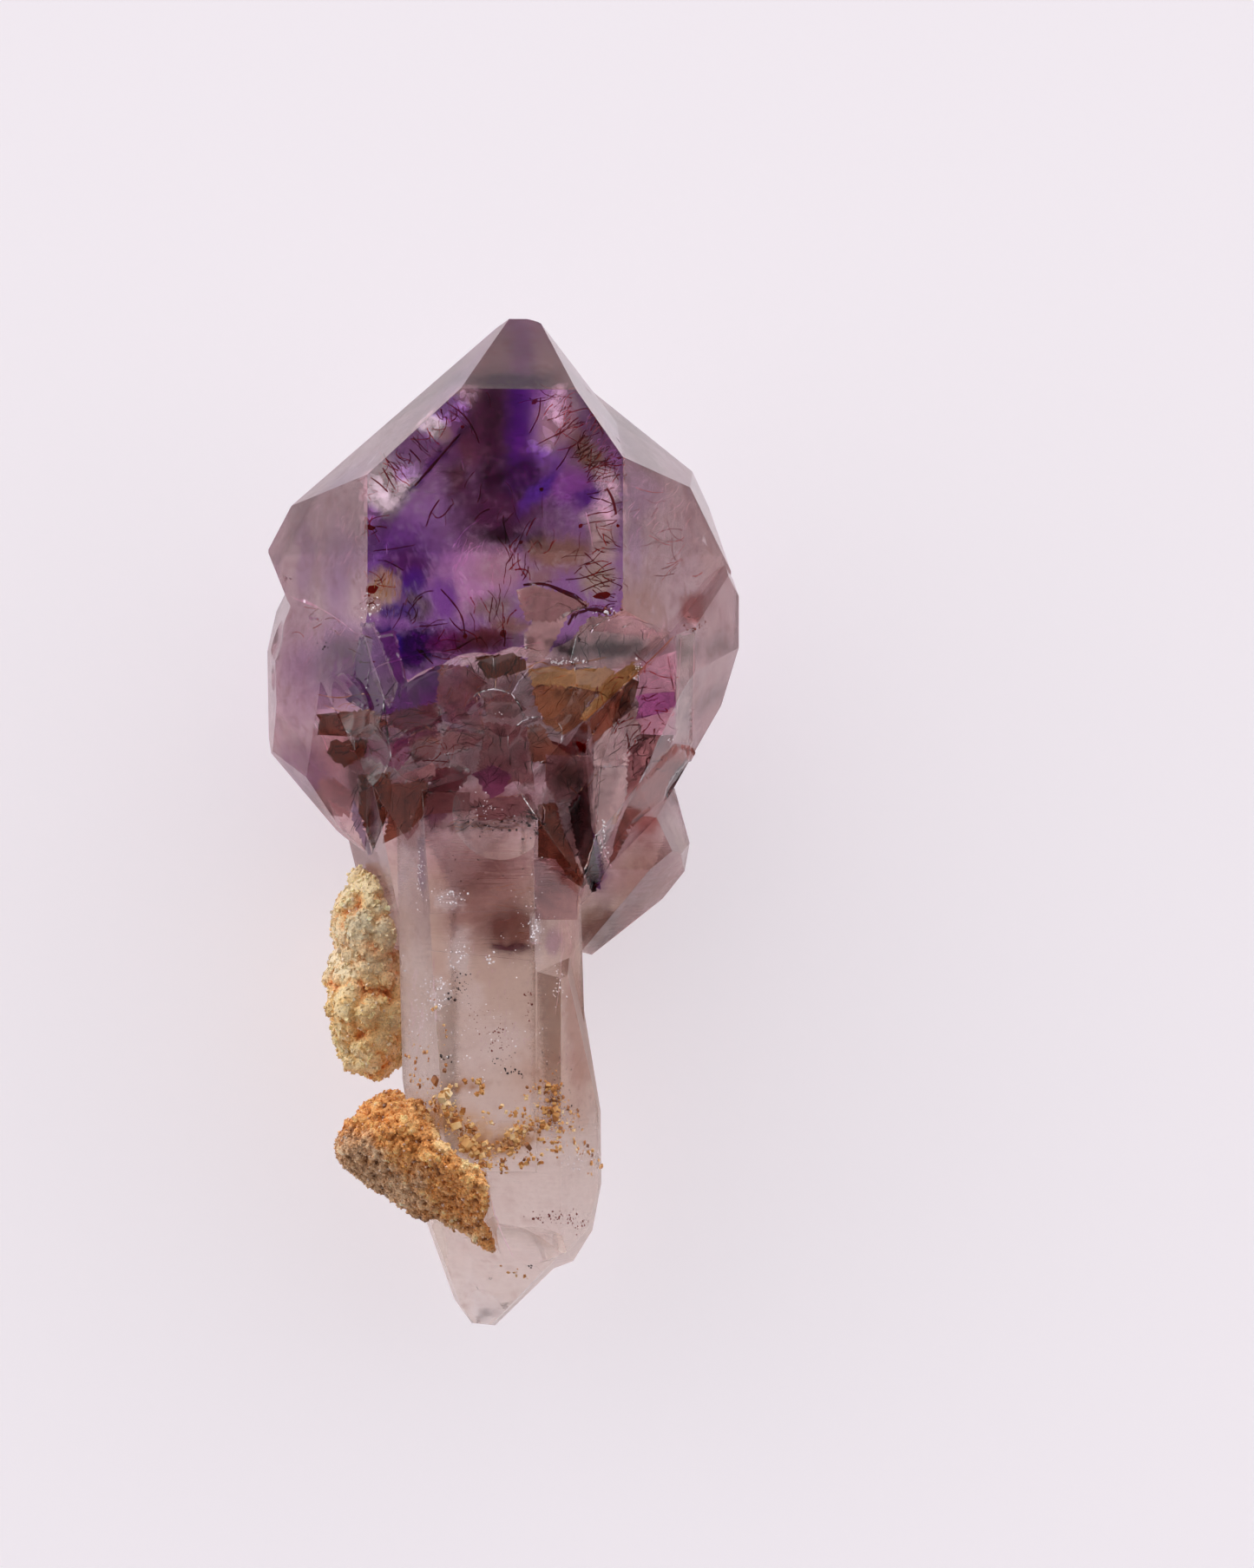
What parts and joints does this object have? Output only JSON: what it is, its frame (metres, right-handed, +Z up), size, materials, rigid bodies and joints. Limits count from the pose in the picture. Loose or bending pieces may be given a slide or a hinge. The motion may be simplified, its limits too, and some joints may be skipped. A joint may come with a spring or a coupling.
{
  "type": "amethyst scepter crystal",
  "caption": "Amethyst scepter: a clear purple quartz head grown over a paler quartz stem, with lumps of tan crust on the stem, lying on its side.",
  "frame": {"origin": "on the surface that the scepter lies on, under the middle of its outline", "axes": "+Z up, out of the head's broad front face; the head's tip points along +Y and the stem along -Y"},
  "size_m": [0.0334, 0.071, 0.0245],
  "materials": {
    "quartz": "clear, glossy faces, frosted along the stem",
    "crust": "dull, granular"
  },
  "bodies": {
    "root": {"quartz_scepter": "quartz", "upper_crust": "crust", "lower_crust": "crust"}
  },
  "joints": []
}
